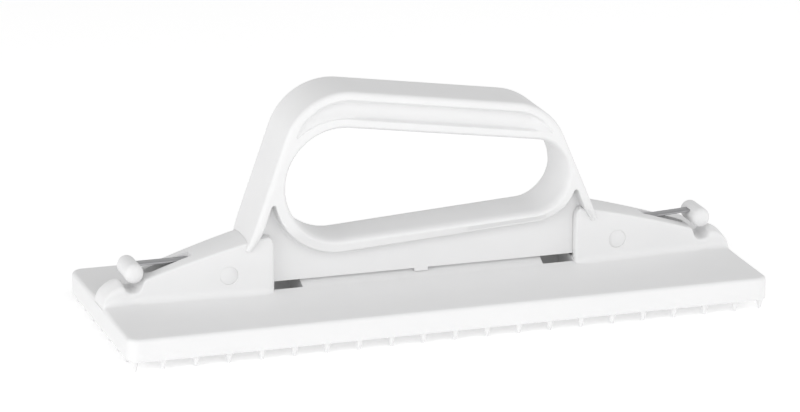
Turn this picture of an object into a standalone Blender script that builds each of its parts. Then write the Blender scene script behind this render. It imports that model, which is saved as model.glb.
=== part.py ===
"""Hand holder for a scouring pad, with sprung cloth clamps at both ends.

Metres, +Z up. X runs along the plate and Y across it.
The origin is under the middle of the plate, level with the tips of the grip studs.
"""

import math

import bmesh
import bpy
from mathutils import Matrix, Vector

# Clearance between pieces that touch on the real object
fit_gap = 0.0003

# Base plate
plate_length = 0.2300
plate_width = 0.0846
plate_thickness = 0.0080
plate_corner_radius = 0.0045
plate_top_radius = 0.0014
plate_bottom_radius = 0.0004

# Grip studs under the plate
stud_length = 0.0038
stud_root_radius = 0.00135
stud_tip_radius = 0.0003
stud_sink = 0.0010
stud_sides = 6
stud_pitch = 0.01143
stud_column_inset = 0.0026
stud_row_inset = 0.0020
stud_row_count = 8

# Cove that lifts the plate towards its middle line
cove_rise = 0.0013
cove_run = 0.0200
cove_tuck = 0.0002

# Raised middle of the plate under the handle
rib_half_width = 0.0044
rib_height = 0.0099
rib_edge = 0.0002

# Towers that carry the handle and the clamps, each measured from its end of the plate
tower_length = 0.0600
tower_half_width = 0.0094
tower_end_half_width = 0.0057
tower_middle_run = 0.0250
tower_height = 0.0239
tower_slope = 0.2853
tower_sag = 1.5
tower_corner_run = 0.0026
tower_corner_drop = 0.0045
tower_crown = 0.0005
tower_edge = 0.0008

# Notch for the cloth's end, and the end ridge beyond it
notch_inset = 0.0111
notch_floor = 0.0122
notch_radius = 0.0030
notch_inner_angle = math.radians(61.0)
notch_outer_angle = math.radians(74.0)
ridge_length = 0.0078
ridge_height = 0.0161
ridge_setback = 0.0003
ridge_power = 1.5

# Recesses in the plate beside the towers
pocket_length = 0.0114
pocket_floor = 0.0015
pocket_half_width = 0.0046
pocket_ledge = 0.0002

# Open channel for the spring strip, up to the middle of the notch
channel_length = 0.0199
channel_half_width = 0.0036
channel_floor = 0.0140

# Spring strips
strip_width = 0.0060
strip_thickness = 0.0006
strip_depth = 0.0015
strip_wrap = math.radians(285.0)
strip_tail = 0.0010
left_strip_lift = math.radians(0.0)
right_strip_lift = math.radians(3.0)

# Cross pins that hold the strips' rolled ends
pin_run = 0.0131
pin_drop = 0.0048
pin_head_radius = 0.0032
pin_shank_radius = 0.0017
pin_recess = 0.0001
pin_shoulder_gap = 0.0005
pin_facets = 24

# Clamp barrels
barrel_reach = 0.0193
barrel_drop = 0.0016
barrel_radius = 0.0032
barrel_length = 0.0140
barrel_end_radius = 0.0022
barrel_facets = 24

# Handle: outer flange, as the corners of its outer line and their radii
handle_half_width = 0.0120
flange_thickness = 0.0031
flange_edge = 0.0012
foot_taper_height = 0.0080
foot_tip_thickness = 0.0012
foot_tip_lap = 0.0004
foot_rise = 0.0011
left_foot_run = 0.0101
left_shoulder_run = 0.0201
left_shoulder_height = 0.0812
left_shoulder_radius = 0.0225
right_shoulder_run = 0.0181
right_shoulder_height = 0.0681
right_shoulder_radius = 0.0220
right_foot_run = 0.0079

# Handle: finger opening, one end circle each side, placed from the feet and shoulders
opening_left_run = 0.0339
opening_left_depth = 0.0353
opening_left_radius = 0.0204
opening_right_run = 0.0247
opening_right_depth = 0.0252
opening_right_radius = 0.0135

# Handle: ring round the opening, with how far its end circles lie off the opening's
ring_left_wall = 0.0028
ring_left_shift = 0.0010
ring_right_wall = 0.0026
ring_right_shift = 0.0002
ring_lift = 0.0004
ring_edge = 0.0010
ring_setback = 0.0001

# Handle: web, its tongues in the towers and its middle lug
web_half_thickness = 0.0044
web_bottom = 0.0112
web_bite = 0.0010
left_tongue_length = 0.0066
right_tongue_length = 0.0044
lug_half_length = 0.0030

# Facets of round outlines
arc_steps = 10
ring_steps = 16
bowl_steps = 6
cove_steps = 4
eye_steps = 20
corner_steps = 5
barrel_corner_steps = 4
edge_steps = 2
plate_edge_steps = 3

# Least distance between two sections of one loft
section_step = 0.00002

# Sizes that follow from those above
half_length = plate_length / 2
half_width = plate_width / 2
tower_start = half_length - tower_length
tower_middle = tower_start + tower_middle_run
notch_place = half_length - notch_inset
ridge_start = half_length - ridge_length
channel_start = notch_place - channel_length
pocket_end = tower_start - pocket_ledge
foot_level = tower_height + foot_rise
left_foot = (-tower_start - left_foot_run, foot_level)
right_foot = (tower_start + right_foot_run, foot_level)
left_shoulder = (left_foot[0] + left_shoulder_run, left_shoulder_height)
right_shoulder = (right_foot[0] - right_shoulder_run, right_shoulder_height)
opening_left = (left_foot[0] + opening_left_run, left_shoulder_height - opening_left_depth)
opening_right = (
    right_foot[0] - opening_right_run,
    right_shoulder_height - opening_right_depth,
)
ring_left = (opening_left[0] - ring_left_shift, opening_left[1] + ring_lift)
ring_left_radius = opening_left_radius + ring_left_wall
ring_right = (opening_right[0] + ring_right_shift, opening_right[1] + ring_lift)
ring_right_radius = opening_right_radius + ring_right_wall
left_tongue_reach = tower_start + left_tongue_length
right_tongue_reach = tower_start + right_tongue_length
pin_place = channel_start - pin_run
strip_half_width = strip_width / 2
strip_half_thickness = strip_thickness / 2
eye_radius = pin_shank_radius + fit_gap + strip_half_thickness
overshoot = 0.0200


def clear_scene():
    for thing in list(bpy.data.objects):
        bpy.data.objects.remove(thing, do_unlink=True)


def new_collection(name):
    made = bpy.data.collections.new(name)
    bpy.context.scene.collection.children.link(made)
    return made


clear_scene()
parts = new_collection("scouring_pad_holder")
tools = new_collection("cutters")


def plastic(name, colour, roughness):
    made = bpy.data.materials.new(name)
    made.use_nodes = True
    shader = made.node_tree.nodes["Principled BSDF"]
    shader.inputs["Base Color"].default_value = colour
    shader.inputs["Roughness"].default_value = roughness
    shader.inputs["Metallic"].default_value = 0.0
    made.diffuse_color = colour
    return made


def metal(name, colour, roughness):
    made = plastic(name, colour, roughness)
    made.node_tree.nodes["Principled BSDF"].inputs["Metallic"].default_value = 1.0
    made.metallic = 1.0
    return made


def place(made, collection):
    """Link an object to one collection only."""
    for old in list(made.users_collection):
        old.objects.unlink(made)
    collection.objects.link(made)
    return made


def as_cutter(made):
    place(made, tools)
    made.hide_render = True
    made.display_type = "WIRE"
    return made


def as_part(made, name, material):
    place(made, parts)
    made.name = name
    made.data.name = name
    made.data.materials.clear()
    made.data.materials.append(material)
    return made


def smooth(made):
    made.data.shade_smooth()
    made.data.set_sharp_from_angle(angle=math.radians(32.0))
    return made


def object_from(name, work):
    """An object that holds the finished bmesh."""
    bmesh.ops.recalc_face_normals(work, faces=work.faces)
    mesh = bpy.data.meshes.new(name)
    work.to_mesh(mesh)
    work.free()
    made = bpy.data.objects.new(name, mesh)
    tools.objects.link(made)
    return made


def add_boolean(target, other, operation):
    step = target.modifiers.new(operation.lower() + "_" + other.name, "BOOLEAN")
    step.operation = operation
    step.solver = "EXACT"
    step.object = other
    return step


def outline_solid(name, outlines, half_depth):
    """Flat outlines in the XZ plane, extruded both ways along Y. A second one is a hole."""
    curve = bpy.data.curves.new(name, "CURVE")
    curve.dimensions = "2D"
    curve.fill_mode = "BOTH"
    curve.extrude = half_depth
    for outline in outlines:
        spline = curve.splines.new("POLY")
        spline.points.add(len(outline) - 1)
        for point, (x, z) in zip(spline.points, outline):
            point.co = (x, z, 0.0, 1.0)
        spline.use_cyclic_u = True
    guide = bpy.data.objects.new(name + "_outline", curve)
    guide.rotation_euler = (math.pi / 2, 0.0, 0.0)
    tools.objects.link(guide)
    bpy.context.view_layer.update()
    evaluated = guide.evaluated_get(bpy.context.evaluated_depsgraph_get())
    mesh = bpy.data.meshes.new_from_object(evaluated)
    work = bmesh.new()
    work.from_mesh(mesh)
    bmesh.ops.remove_doubles(work, verts=work.verts, dist=0.000001)
    bmesh.ops.recalc_face_normals(work, faces=work.faces)
    work.to_mesh(mesh)
    work.free()
    made = bpy.data.objects.new(name, mesh)
    made.matrix_world = guide.matrix_world.copy()
    tools.objects.link(made)
    bpy.data.objects.remove(guide, do_unlink=True)
    return made


def box_solid(name, low, high):
    """A box between two opposite corners."""
    work = bmesh.new()
    bmesh.ops.create_cube(work, size=1.0)
    size = [h - l for l, h in zip(low, high)]
    middle = [(h + l) / 2 for l, h in zip(low, high)]
    bmesh.ops.scale(work, vec=size, verts=work.verts)
    bmesh.ops.translate(work, vec=middle, verts=work.verts)
    return object_from(name, work)


def turned_solid(name, profile, facets):
    """A profile of (radius, height) points turned about local Z by a Screw modifier."""
    mesh = bpy.data.meshes.new(name)
    corners = [(radius, 0.0, height) for radius, height in profile]
    edges = [(i, i + 1) for i in range(len(corners) - 1)]
    mesh.from_pydata(corners, edges, [])
    made = bpy.data.objects.new(name, mesh)
    tools.objects.link(made)
    turn = made.modifiers.new("turn", "SCREW")
    turn.axis = "Z"
    turn.steps = facets
    turn.render_steps = facets
    turn.use_merge_vertices = True
    turn.merge_threshold = 0.00001
    turn.use_smooth_shade = True
    return made


def between(start, end, share):
    return start + (end - start) * share


def arc_points(centre, radius, start, sweep, steps):
    """Points on a circle in the XZ plane, angles counted from +X towards +Z."""
    return [
        (
            centre[0] + radius * math.cos(start + sweep * i / steps),
            centre[1] + radius * math.sin(start + sweep * i / steps),
        )
        for i in range(steps + 1)
    ]


def filleted_path(corners, radii, steps):
    """An open path through the corners, with an arc of the given radius at each inner one."""
    path = [Vector(corners[0])]
    for before, corner, after, radius in zip(corners, corners[1:], corners[2:], radii):
        corner = Vector(corner)
        back = (Vector(before) - corner).normalized()
        ahead = (Vector(after) - corner).normalized()
        opening = back.angle(ahead)
        centre = corner + (back + ahead).normalized() * radius / math.sin(opening / 2)
        first = corner + back * radius / math.tan(opening / 2) - centre
        turn = math.pi - opening
        if back.x * ahead.y - back.y * ahead.x < 0:
            turn = -turn
        for i in range(steps + 1):
            spin = Matrix.Rotation(-turn * i / steps, 2)
            path.append(centre + spin @ first)
    path.append(Vector(corners[-1]))
    return path


def offset_path(path, distance):
    """The same path moved to its right by a distance, mitred at its points."""
    moved = []
    for i, point in enumerate(path):
        sides = []
        if i > 0:
            sides.append((point - path[i - 1]).normalized())
        if i < len(path) - 1:
            sides.append((path[i + 1] - point).normalized())
        normals = [Vector((side.y, -side.x)) for side in sides]
        mitre = sum(normals, Vector((0.0, 0.0))).normalized()
        moved.append(point + mitre * distance / mitre.dot(normals[0]))
    return moved


def belt_outline(left, left_radius, right, right_radius, steps):
    """The line of a belt round two circles, from the top left, over the left circle first."""
    span = Vector(right) - Vector(left)
    heading = math.atan2(span.y, span.x)
    splay = math.asin((left_radius - right_radius) / span.length)
    top = heading + math.pi / 2 - splay
    bottom = heading - math.pi / 2 + splay
    left_sweep = 2 * math.pi - (top - bottom)
    outline = arc_points(left, left_radius, top, left_sweep, steps)
    outline += arc_points(right, right_radius, bottom, top - bottom, steps)
    return outline


# Base moulding


def spine_half_width(along):
    """Half width of a tower at a distance from the middle of the plate."""
    share = (along - tower_start) / (half_length - tower_start)
    return tower_half_width + (tower_end_half_width - tower_half_width) * share


def tower_line(along):
    run = along - tower_middle
    return tower_height - tower_slope * run - tower_sag * run * run


def ridge_share(along):
    """1 at the ridge's crest, falling to 0 at the end of the plate."""
    share = (along - ridge_start) / (half_length - ridge_start)
    share = min(max(share, 0.0), 1.0)
    return math.sqrt(1.0 - share**ridge_power)


def notch_line(along):
    """Height of the notch's walls and floor."""
    run = along - notch_place
    angle = notch_outer_angle if run > 0 else notch_inner_angle
    reach = notch_radius * math.sin(angle)
    if abs(run) <= reach:
        return notch_floor + notch_radius - math.sqrt(notch_radius**2 - run * run)
    foot = notch_floor + notch_radius * (1 - math.cos(angle))
    return foot + (abs(run) - reach) * math.tan(angle)


def crest_height(along):
    """Height of a tower, notch or ridge on the middle line, above the plate's underside."""
    if along < notch_place:
        height = tower_line(along)
        run = (along - tower_start) / tower_corner_run
        if run < 1.0:
            height -= tower_corner_drop * (1.0 - math.sqrt(1.0 - (1.0 - run) ** 2))
        return min(height, notch_line(along))
    rise = (ridge_height - plate_thickness) * ridge_share(along)
    return min(plate_thickness + rise, notch_line(along))


def spine_section(crest, half, foot, edge, crown, rise, grow):
    """One half of a cross-section: (y, z) points from the middle line outwards."""
    crest = crest + grow
    half = half + grow
    shoulder = half - edge
    points = [(0.0, crest)]
    points.append((shoulder, crest - crown))
    points.append((half - edge * 0.3, crest - crown - edge * 0.3))
    points.append((half, crest - crown - edge))
    for step in range(cove_steps + 1):
        share = step / cove_steps
        lift = rise * (1.0 - share) ** 2 - cove_tuck * share
        points.append((foot + grow + cove_run * share, plate_thickness + lift))
    points.append((foot + grow + cove_run, plate_thickness / 2))
    return points


def section_at(along, grow):
    crest = crest_height(along)
    rise = cove_rise * ridge_share(along)
    spare = crest - plate_thickness - rise
    crown = min(tower_crown, spare * 0.15)
    edge = min(tower_edge, spare * 0.45)
    half = spine_half_width(along)
    return spine_section(crest, half, half, edge, crown, rise, grow)


def rib_section():
    half = rib_half_width
    foot = tower_half_width
    return spine_section(rib_height, half, foot, rib_edge, 0.0, cove_rise, 0.0)


def ring_of(side, along, section):
    """A closed cross-section at side * along, from the half on the +Y side."""
    right = [Vector((side * along, y, z + stud_length)) for y, z in section]
    left = [Vector((side * along, -y, z + stud_length)) for y, z in section[1:]]
    return right + left[::-1]


def tower_stations():
    """Distances from the middle at which a tower, its notch and its ridge are sectioned."""
    corner = [tower_start + tower_corner_run * s for s in (0.0, 0.08, 0.3, 0.6, 1.0)]
    inner_foot = notch_place - notch_radius * math.sin(notch_inner_angle)
    outer_foot = notch_place + notch_radius * math.sin(notch_outer_angle)
    lip = meeting(tower_line, notch_line, tower_middle, inner_foot)
    crest = meeting(ridge_line, notch_line, half_length, outer_foot)
    body = [between(corner[-1], lip, s) for s in (0.2, 0.4, 0.6, 0.8)]
    bowl = [between(inner_foot, outer_foot, s / bowl_steps) for s in range(bowl_steps + 1)]
    far = half_length - ridge_setback
    end = [between(crest, far, s) for s in (0.2, 0.45, 0.7, 0.88, 1.0)]
    return corner + body + [lip] + bowl + [crest] + end


def ridge_line(along):
    rise = (ridge_height - plate_thickness) * ridge_share(along)
    return plate_thickness + rise


def meeting(line, notch, outside, inside):
    """Where a top line and the notch's wall cross, found by halving."""
    for _ in range(40):
        middle = (outside + inside) / 2
        if notch(middle) > line(middle):
            outside = middle
        else:
            inside = middle
    return (outside + inside) / 2


def lofted(name, rings, closed=False):
    """A solid through a row of cross-sections with equal point counts, capped or a closed loop."""
    work = bmesh.new()
    rows = [[work.verts.new(point) for point in ring] for ring in rings]
    pairs = list(zip(rows, rows[1:]))
    if closed:
        pairs.append((rows[-1], rows[0]))
    for row, following in pairs:
        for i in range(len(row)):
            j = (i + 1) % len(row)
            work.faces.new((row[i], row[j], following[j], following[i]))
    if not closed:
        work.faces.new(rows[0])
        work.faces.new(rows[-1])
    bmesh.ops.recalc_face_normals(work, faces=work.faces)
    bmesh.ops.triangulate(work, faces=work.faces, ngon_method="EAR_CLIP")
    return object_from(name, work)


def spine_solid():
    """Rib, coves, towers, notches and end ridges as one loft from end to end."""
    stations = tower_stations()
    rings = [ring_of(-1, s, section_at(s, 0.0)) for s in reversed(stations)]
    rib_end = tower_start - section_step
    rings.append(ring_of(-1, rib_end, rib_section()))
    rings.append(ring_of(1, rib_end, rib_section()))
    rings += [ring_of(1, s, section_at(s, 0.0)) for s in stations]
    return lofted("spine", rings)


def tower_clearance(side):
    """A tower grown by the clearance, to cut the feet of the handle to it."""
    stations = [s for s in tower_stations() if s < tower_middle + tower_corner_run]
    rings = [ring_of(side, s, section_at(s, fit_gap)) for s in stations]
    if side < 0:
        rings = rings[::-1]
    return lofted("tower_clearance", rings)


def plate_solid():
    """The plate, with round corners and softened top and bottom edges."""
    work = bmesh.new()
    bmesh.ops.create_cube(work, size=1.0)
    size = (plate_length, plate_width, plate_thickness)
    bmesh.ops.scale(work, vec=size, verts=work.verts)
    lift = (0.0, 0.0, stud_length + plate_thickness / 2)
    bmesh.ops.translate(work, vec=lift, verts=work.verts)
    upright = [e for e in work.edges if abs(e.verts[0].co.z - e.verts[1].co.z) > 0.001]
    bmesh.ops.bevel(
        work,
        geom=upright,
        offset=plate_corner_radius,
        segments=corner_steps,
        profile=0.5,
        affect="EDGES",
    )
    top = stud_length + plate_thickness
    rims = ((top, plate_top_radius, plate_edge_steps), (stud_length, plate_bottom_radius, 1))
    for level, radius, segments in rims:
        rim = [e for e in work.edges if all(abs(v.co.z - level) < 1e-6 for v in e.verts)]
        bmesh.ops.bevel(
            work,
            geom=rim,
            offset=radius,
            segments=segments,
            profile=0.5,
            affect="EDGES",
        )
    return object_from("plate", work)


def stud_places():
    """Stud centres: an even grid, with the end columns and corners drawn in from the edge."""
    last = half_length - stud_column_inset
    count = int((last - stud_pitch * 0.6) / stud_pitch)
    columns = [i * stud_pitch for i in range(-count, count + 1)]
    front = half_width - stud_row_inset
    rows = [
        -front + 2 * front * j / (stud_row_count - 1) for j in range(stud_row_count)
    ]
    places = [(x, y) for x in columns for y in rows]
    for side in (-1, 1):
        for y in rows:
            inset = min(abs(y), half_width - stud_column_inset)
            places.append((side * last, math.copysign(inset, y)))
    return places


def studs_solid():
    """Every stud: a blunt cone, point down, sunk a little into the plate."""
    work = bmesh.new()
    height = stud_length + stud_sink
    spread = (stud_root_radius - stud_tip_radius) / stud_length
    for x, y in stud_places():
        where = Matrix.Translation((x, y, height / 2))
        bmesh.ops.create_cone(
            work,
            cap_ends=True,
            segments=stud_sides,
            radius1=stud_tip_radius,
            radius2=stud_root_radius + spread * stud_sink,
            depth=height,
            matrix=where,
        )
    return object_from("studs", work)


def side_box(name, side, near, far, half, low, high):
    """A box between two distances from the middle, on one side, heights above the plate's underside."""
    ends = sorted((side * near, side * far))
    return box_solid(
        name,
        (ends[0], -half, low + stud_length),
        (ends[1], half, high + stud_length),
    )


def strip_bend():
    """Where the strip leaves the roof, a little under it."""
    return Vector((channel_start, tower_line(channel_start) - strip_depth))


def strip_eye():
    """Middle of the cross pin, inwards of that point and below it."""
    return strip_bend() - Vector((pin_run, pin_drop))


def strip_rise_angle():
    """Slope of the strip between its rolled end and the roof's lip."""
    span = strip_bend() - strip_eye()
    return math.atan2(span.y, span.x) - math.asin(eye_radius / span.length)


def strip_tangent():
    """Where the straight of the strip leaves its rolled end."""
    angle = strip_rise_angle() + math.pi / 2
    return strip_eye() + Vector((math.cos(angle), math.sin(angle))) * eye_radius


def strip_end(lift):
    """The strip's free end, inside the barrel."""
    reach = barrel_reach + strip_tail
    return strip_bend() + Vector((math.cos(lift), math.sin(lift))) * reach


def barrel_centre(lift):
    along = Vector((math.cos(lift), math.sin(lift)))
    across = Vector((math.sin(lift), -math.cos(lift)))
    return strip_bend() + along * barrel_reach + across * barrel_drop


def strip_path(lift):
    """Middle line of the strip, for the +X side: free end, lip, then round the pin."""
    angle = strip_rise_angle() + math.pi / 2
    loop = arc_points(strip_eye(), eye_radius, angle, strip_wrap, eye_steps)
    return [strip_end(lift), strip_bend()] + [Vector(point) for point in loop]


def mirrored(points, side):
    return [(side * x, z + stud_length) for x, z in points]


def band_outline(path, half):
    return offset_path(path, half) + offset_path(path, -half)[::-1]


def root_passage(side):
    """Passage for the strip from the pin's bore to the open channel."""
    beyond = strip_bend() + Vector((strip_tail, 0.0))
    path = [beyond, strip_bend(), strip_tangent()]
    outline = band_outline(path, strip_half_thickness + fit_gap)
    half = strip_half_width + fit_gap
    return outline_solid("root_passage", [mirrored(outline, side)], half)


def pin_bore(side):
    """Bore for the cross pin, through both walls of the tower."""
    work = bmesh.new()
    eye = strip_eye()
    where = Matrix.Translation((side * eye.x, 0.0, eye.y + stud_length))
    bmesh.ops.create_cone(
        work,
        cap_ends=True,
        segments=pin_facets,
        radius1=pin_head_radius + fit_gap,
        radius2=pin_head_radius + fit_gap,
        depth=2 * (tower_half_width + overshoot),
        matrix=where @ Matrix.Rotation(math.pi / 2, 4, "X"),
    )
    return object_from("pin_bore", work)


def tongue_slot(side):
    """Slot in a tower's inner end for the tongue of the handle, open at the top."""
    reach = right_tongue_reach if side > 0 else left_tongue_reach
    return side_box(
        "tongue_slot",
        side,
        pocket_end,
        reach + fit_gap,
        web_half_thickness + fit_gap,
        web_bottom - fit_gap,
        tower_height + overshoot,
    )


def base_cutters(side):
    high = tower_height + overshoot
    channel_far = notch_place - notch_radius * math.sin(notch_inner_angle) / 2
    return [
        side_box(
            "pocket",
            side,
            pocket_end - pocket_length,
            pocket_end,
            pocket_half_width,
            pocket_floor,
            high,
        ),
        side_box(
            "channel",
            side,
            channel_start,
            channel_far,
            channel_half_width,
            channel_floor,
            high,
        ),
        tongue_slot(side),
        root_passage(side),
        pin_bore(side),
    ]


def make_base(material):
    base = as_part(plate_solid(), "base_plate", material)
    add_boolean(base, as_cutter(spine_solid()), "UNION")
    for side in (-1, 1):
        for cutter in base_cutters(side):
            add_boolean(base, as_cutter(cutter), "DIFFERENCE")
    add_boolean(base, as_cutter(studs_solid()), "UNION")
    return smooth(base)


# Handle


def flange_path():
    corners = (left_foot, left_shoulder, right_shoulder, right_foot)
    radii = (left_shoulder_radius, right_shoulder_radius)
    return filleted_path(corners, radii, arc_steps)


def raised(points):
    return [(point[0], point[1] + stud_length) for point in points]


def with_foot_points(path):
    """The path with extra points where its feet taper."""
    full = list(path)
    for end, following in ((0, 1), (-1, -2)):
        foot = path[end]
        leg = (path[following] - foot) / (path[following].y - foot.y)
        extra = [foot + leg * foot_taper_height * s for s in (0.12, 0.35, 0.65, 1.0)]
        full = full[:1] + extra + full[1:] if end == 0 else full[:-1] + extra[::-1] + full[-1:]
    return full


def flange_section(height):
    """Half width and thickness of the flange at a height; both shrink towards the foot."""
    share = min(max((height - foot_level) / foot_taper_height, 0.0), 1.0)
    share = math.sin(share * math.pi / 2)
    narrow = tower_half_width + foot_tip_lap
    half = narrow + (handle_half_width - narrow) * share
    return half, foot_tip_thickness + (flange_thickness - foot_tip_thickness) * share


def rounded_rectangle(depth, half, radius, steps):
    """(depth, across) points of a rectangle with round corners."""
    points = []
    corners = (
        (radius, radius - half, math.pi),
        (depth - radius, radius - half, math.pi * 1.5),
        (depth - radius, half - radius, 0.0),
        (radius, half - radius, math.pi / 2),
    )
    for u, v, start in corners:
        points += arc_points((u, v), radius, start, math.pi / 2, steps)
    return points


def flange_solid():
    """Outer flange of the handle: one bent strip from foot to foot, with round edges."""
    path = with_foot_points(flange_path())
    inward = [inner - outer for inner, outer in zip(offset_path(path, 1.0), path)]
    rings = []
    for point, normal in zip(path, inward):
        half, depth = flange_section(point.y)
        radius = min(flange_edge, depth * 0.45)
        ring = []
        for u, v in rounded_rectangle(depth, half, radius, edge_steps):
            at = point + normal * u
            ring.append(Vector((at.x, v, at.y + stud_length)))
        rings.append(ring)
    flange = lofted("flange", rings)
    for side in (-1, 1):
        add_boolean(flange, as_cutter(tower_clearance(side)), "DIFFERENCE")
    return flange


def ring_solid():
    """Ring round the finger opening: a bar with round edges, carried round both end circles."""
    rim = belt_outline(
        ring_left, ring_left_radius, ring_right, ring_right_radius, ring_steps
    )
    hole = belt_outline(
        opening_left,
        opening_left_radius,
        opening_right,
        opening_right_radius,
        ring_steps,
    )
    half = handle_half_width - ring_setback
    rings = []
    for inner, outer in zip(raised(hole), raised(rim)):
        inner = Vector(inner)
        across = Vector(outer) - inner
        section = rounded_rectangle(across.length, half, ring_edge, edge_steps)
        points = [(inner + across.normalized() * u, v) for u, v in section]
        rings.append([Vector((at.x, v, at.y)) for at, v in points])
    return lofted("ring", rings, closed=True)


def web_solid():
    """Web between the flange and the ring, down to its lower edge, with both tongues."""
    inside = offset_path(flange_path(), flange_thickness - web_bite)
    spread = [p for p in inside if -left_tongue_reach < p.x < right_tongue_reach]
    left_top = side_level(inside, -left_tongue_reach)
    right_top = side_level(inside, right_tongue_reach)
    rim = [(-left_tongue_reach, web_bottom), (-left_tongue_reach, left_top)]
    rim += [(p.x, p.y) for p in spread]
    rim += [(right_tongue_reach, right_top), (right_tongue_reach, web_bottom)]
    hole = belt_outline(
        opening_left,
        opening_left_radius + web_bite,
        opening_right,
        opening_right_radius + web_bite,
        ring_steps,
    )
    web = outline_solid("web", [raised(rim)], web_half_thickness)
    cutter = outline_solid("web_hole", [raised(hole)], handle_half_width)
    add_boolean(web, as_cutter(cutter), "DIFFERENCE")
    return web


def side_level(path, x):
    """Height at which a path passes a given x."""
    for a, b in zip(path, path[1:]):
        if min(a.x, b.x) <= x <= max(a.x, b.x):
            return a.y + (b.y - a.y) * (x - a.x) / (b.x - a.x)
    raise ValueError("the path doesn't reach this x")


def lug_solid():
    """Lug in the middle of the web's lower edge, seated on the rib."""
    return box_solid(
        "lug",
        (-lug_half_length, -web_half_thickness, rib_height + fit_gap + stud_length),
        (lug_half_length, web_half_thickness, web_bottom + web_bite + stud_length),
    )


def make_handle(material):
    handle = as_part(ring_solid(), "handle", material)
    for piece in (flange_solid(), web_solid(), lug_solid()):
        add_boolean(handle, as_cutter(piece), "UNION")
    return smooth(handle)


# Spring strips, clamp barrels and cross pins


def make_strip(name, side, lift, material):
    """Leaf spring: rolled round the pin, bent at the roof's lip, free end in the barrel."""
    outline = band_outline(strip_path(lift), strip_half_thickness)
    strip = outline_solid(name, [mirrored(outline, side)], strip_half_width)
    return smooth(as_part(strip, name, material))


def barrel_profile():
    """Half profile of the barrel, from its top end down its outer side."""
    half = barrel_length / 2
    corner = min(barrel_end_radius, barrel_radius * 0.9)
    centre = (barrel_radius - corner, half - corner)
    upper = arc_points(centre, corner, math.pi / 2, -math.pi / 2, barrel_corner_steps)
    lower = [(radius, -height) for radius, height in reversed(upper)]
    return [(0.0, half)] + upper + lower + [(0.0, -half)]


def barrel_slot(side, lift):
    """Slot in the barrel for the strip's free end."""
    near = strip_bend() + (strip_end(lift) - strip_bend()) * 0.5
    reach = (strip_end(lift) - strip_bend()).normalized() * fit_gap
    path = [strip_end(lift) + reach, near]
    outline = band_outline(path, strip_half_thickness + fit_gap)
    half = strip_half_width + fit_gap
    return outline_solid("barrel_slot", [mirrored(outline, side)], half)


def make_barrel(name, side, lift, material):
    barrel = as_part(turned_solid(name, barrel_profile(), barrel_facets), name, material)
    centre = barrel_centre(lift)
    barrel.location = (side * centre.x, 0.0, centre.y + stud_length)
    barrel.rotation_euler = (math.pi / 2, 0.0, 0.0)
    add_boolean(barrel, as_cutter(barrel_slot(side, lift)), "DIFFERENCE")
    return smooth(barrel)


def pin_profile():
    """Half profile of the pin: head, thinner shank for the strip's eye, head."""
    half = spine_half_width(pin_place + pin_head_radius) - pin_recess
    shoulder = strip_half_width + pin_shoulder_gap
    return [
        (0.0, half),
        (pin_head_radius, half),
        (pin_head_radius, shoulder),
        (pin_shank_radius, shoulder),
        (pin_shank_radius, -shoulder),
        (pin_head_radius, -shoulder),
        (pin_head_radius, -half),
        (0.0, -half),
    ]


def make_pin(name, side, material):
    pin = as_part(turned_solid(name, pin_profile(), pin_facets), name, material)
    eye = strip_eye()
    pin.location = (side * eye.x, 0.0, eye.y + stud_length)
    pin.rotation_euler = (math.pi / 2, 0.0, 0.0)
    return smooth(pin)


white = (0.86, 0.86, 0.86, 1.0)
steel = (0.52, 0.52, 0.53, 1.0)

make_base(plastic("base_plastic", white, 0.42))
make_handle(plastic("handle_plastic", white, 0.40))
for word, side, lift in (("left", -1, left_strip_lift), ("right", 1, right_strip_lift)):
    make_strip(word + "_spring_strip", side, lift, metal(word + "_steel", steel, 0.3))
    make_barrel(
        word + "_clamp_barrel",
        side,
        lift,
        plastic(word + "_barrel_plastic", white, 0.36),
    )
    make_pin(word + "_anchor_pin", side, plastic(word + "_pin_plastic", white, 0.4))
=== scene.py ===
import math

import bmesh
import bpy
from mathutils import Matrix, Vector
from mathutils.geometry import delaunay_2d_cdt


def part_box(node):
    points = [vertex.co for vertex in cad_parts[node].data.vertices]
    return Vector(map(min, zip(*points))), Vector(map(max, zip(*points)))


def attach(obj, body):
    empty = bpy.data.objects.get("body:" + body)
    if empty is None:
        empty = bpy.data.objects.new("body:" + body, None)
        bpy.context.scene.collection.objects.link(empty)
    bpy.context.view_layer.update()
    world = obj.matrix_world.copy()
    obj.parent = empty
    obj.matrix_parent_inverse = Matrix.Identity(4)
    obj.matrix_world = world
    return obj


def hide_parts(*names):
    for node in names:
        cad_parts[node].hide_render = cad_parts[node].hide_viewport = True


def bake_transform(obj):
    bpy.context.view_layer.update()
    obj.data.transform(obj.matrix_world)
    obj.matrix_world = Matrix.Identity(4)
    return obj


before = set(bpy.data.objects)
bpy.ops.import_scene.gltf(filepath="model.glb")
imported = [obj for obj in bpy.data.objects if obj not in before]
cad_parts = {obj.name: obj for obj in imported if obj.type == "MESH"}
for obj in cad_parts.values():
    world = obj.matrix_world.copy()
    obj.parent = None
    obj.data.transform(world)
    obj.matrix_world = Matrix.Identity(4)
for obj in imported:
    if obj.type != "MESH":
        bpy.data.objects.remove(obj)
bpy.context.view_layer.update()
baseHigh = Vector(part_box("base_plate")[1])
print("frame loaded")

# Sizes are metres. Heights in the settings start at the plate's underside, which the studs hold
# up from the floor by this much.
underside = 0.0038
signs = {"left": -1, "right": 1}

# Limits of the shape tools
limits = {
    "mitre": 0.5,
    "parallel": 1e-16,
    "mergeTurned": 0.000002,
    "mergeLofted": 0.000003,
    "mergeCut": 0.000004,
    "mergeStuds": 0.00001,
    "fillScale": 1000.0,
    "fillGap": 0.00001,
    "digits": 7,
    "smooth": math.radians(35.0),
}


def unit(share):
    return min(max(share, 0.0), 1.0)


def between(a, b, share):
    return a + (b - a) * share


# Lines in the upright plane through the middle of the plate, as (x, z) points


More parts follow.
